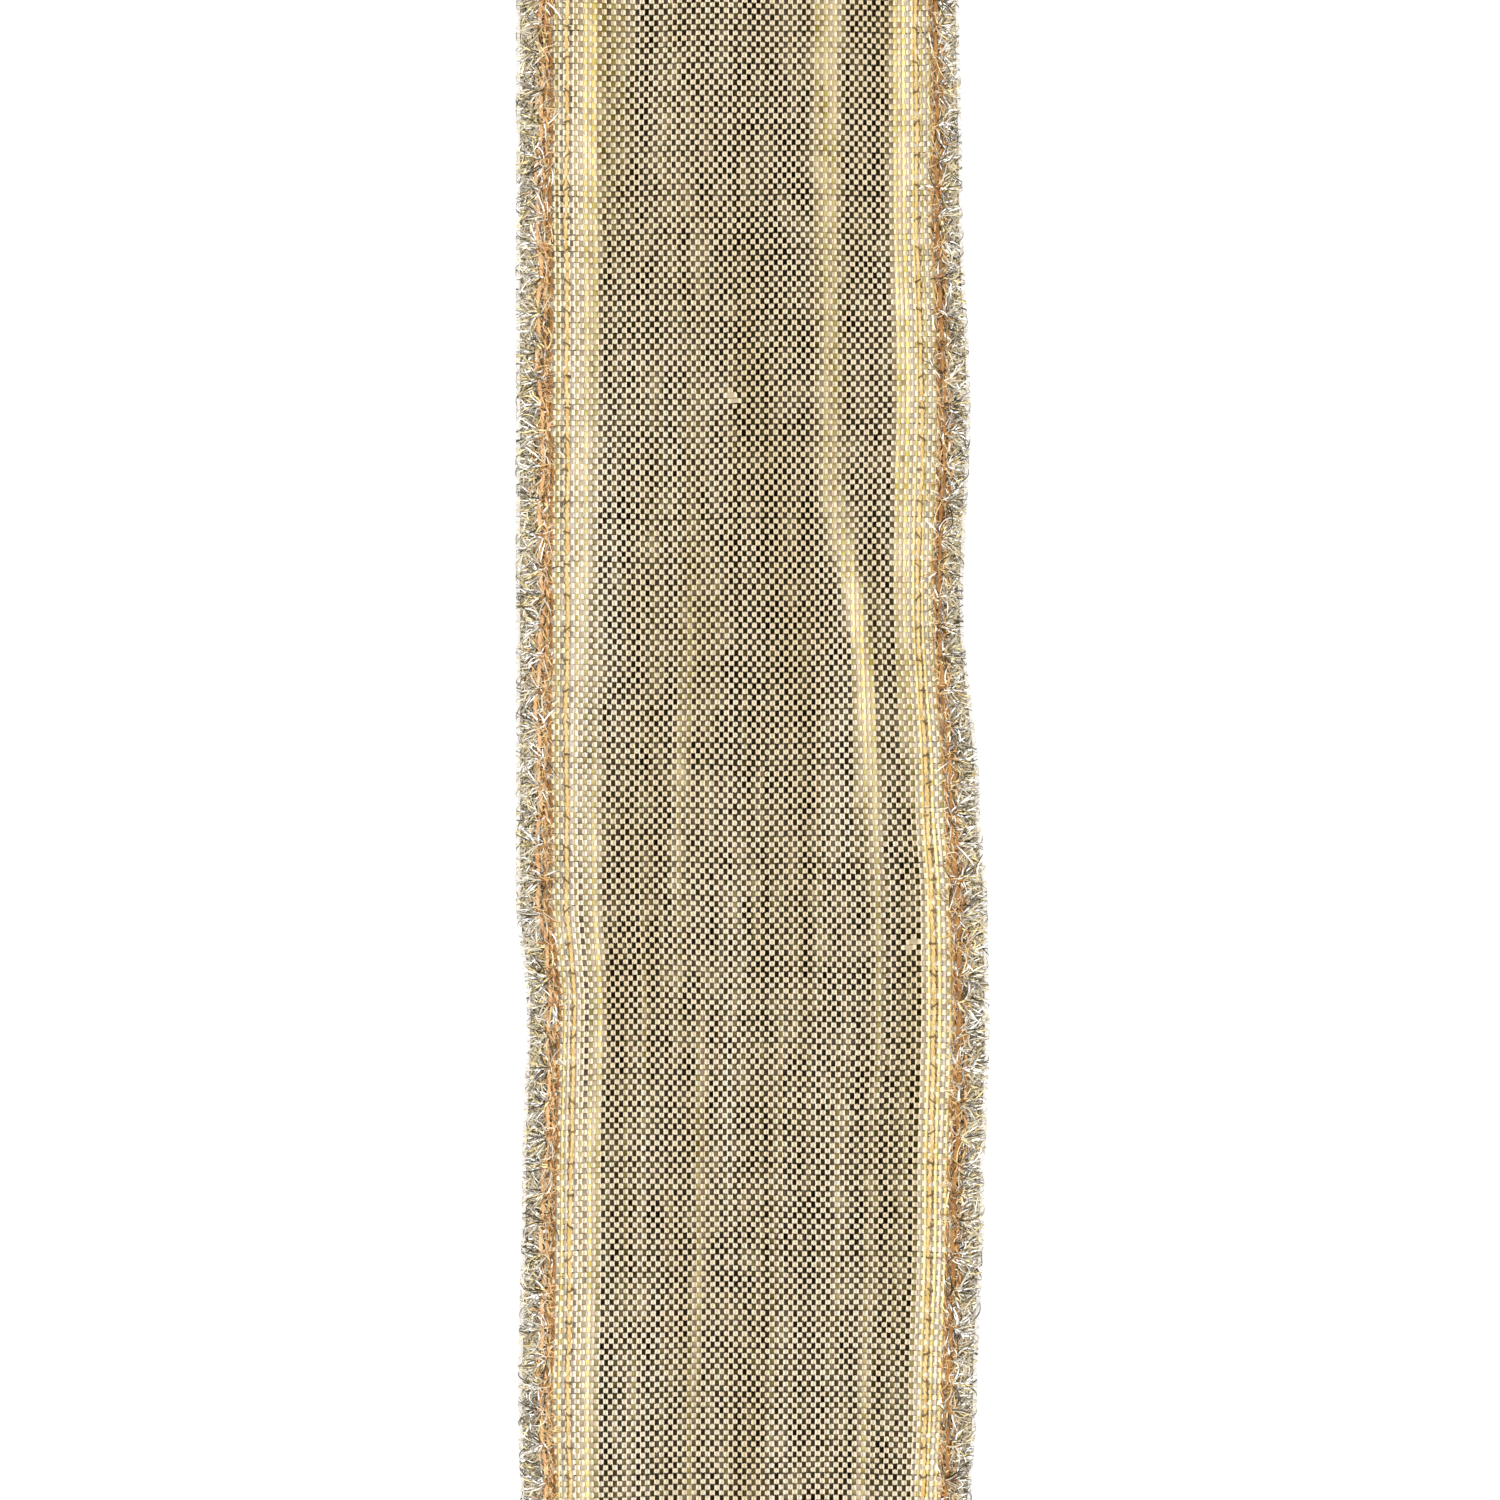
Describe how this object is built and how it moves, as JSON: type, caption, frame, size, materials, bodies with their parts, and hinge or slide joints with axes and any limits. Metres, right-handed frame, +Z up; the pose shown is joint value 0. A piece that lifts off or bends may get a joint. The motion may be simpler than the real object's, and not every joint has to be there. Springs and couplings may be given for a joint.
{
  "type": "ribbon spool",
  "caption": "Paperboard spool of gold woven wired-edge ribbon with sewn tinsel edges, its free tail pulled out flat in front.",
  "frame": {"origin": "centre of the core's bore, midway between the flanges", "axes": "+X along the core's bore, +Z up, the ribbon's tail pulled out towards -Y; flange rims and tail rest on the plane z = -0.0635 m"},
  "size_m": [0.0446, 0.3358, 0.127],
  "materials": {
    "ribbon_weave": "satin",
    "tinsel_edging": "satin",
    "seam_thread": "satin",
    "edge_wire": "satin",
    "core_board": "matte",
    "flange_board": "matte",
    "flange_facing": "matte",
    "glue": "satin",
    "tape": "matte"
  },
  "bodies": {
    "spool": {"core_tube": "core_board", "left_flange_board": "flange_board", "left_flange_facing": "flange_facing", "left_glue_bead": "glue", "right_flange_board": "flange_board", "right_flange_facing": "flange_facing", "right_glue_bead": "glue", "starter_tape": "tape", "roll_ground": "ribbon_weave", "roll_left_edging": "tinsel_edging", "roll_left_edge_wire": "edge_wire", "roll_right_edging": "tinsel_edging", "roll_right_edge_wire": "edge_wire"},
    "run_off": {"run_off_ground": "ribbon_weave", "run_off_left_edging": "tinsel_edging", "run_off_right_edging": "tinsel_edging", "run_off_left_edge_wire": "edge_wire", "run_off_left_outer_seam": "seam_thread", "run_off_left_inner_seam": "seam_thread", "run_off_right_edge_wire": "edge_wire", "run_off_right_outer_seam": "seam_thread", "run_off_right_inner_seam": "seam_thread", "landing_ground": "ribbon_weave", "landing_left_edging": "tinsel_edging", "landing_right_edging": "tinsel_edging"},
    "tail": {"tail_ground": "ribbon_weave", "tail_left_edging": "tinsel_edging", "tail_right_edging": "tinsel_edging", "tail_left_edge_wire": "edge_wire", "tail_left_outer_seam": "seam_thread", "tail_left_inner_seam": "seam_thread", "tail_right_edge_wire": "edge_wire", "tail_right_outer_seam": "seam_thread", "tail_right_inner_seam": "seam_thread"}
  },
  "joints": [
    {"name": "ribbon_unwind", "type": "hinge", "parent": "spool", "child": "run_off", "pos_m": [0, 0, 0], "axis": [-1, 0, 0], "continuous": true},
    {"name": "tail_lift", "type": "hinge", "parent": "run_off", "child": "tail", "pos_m": [0, -0.12515, -0.06188], "axis": [-1, 0, 0], "range_deg": [0, 100]}
  ]
}
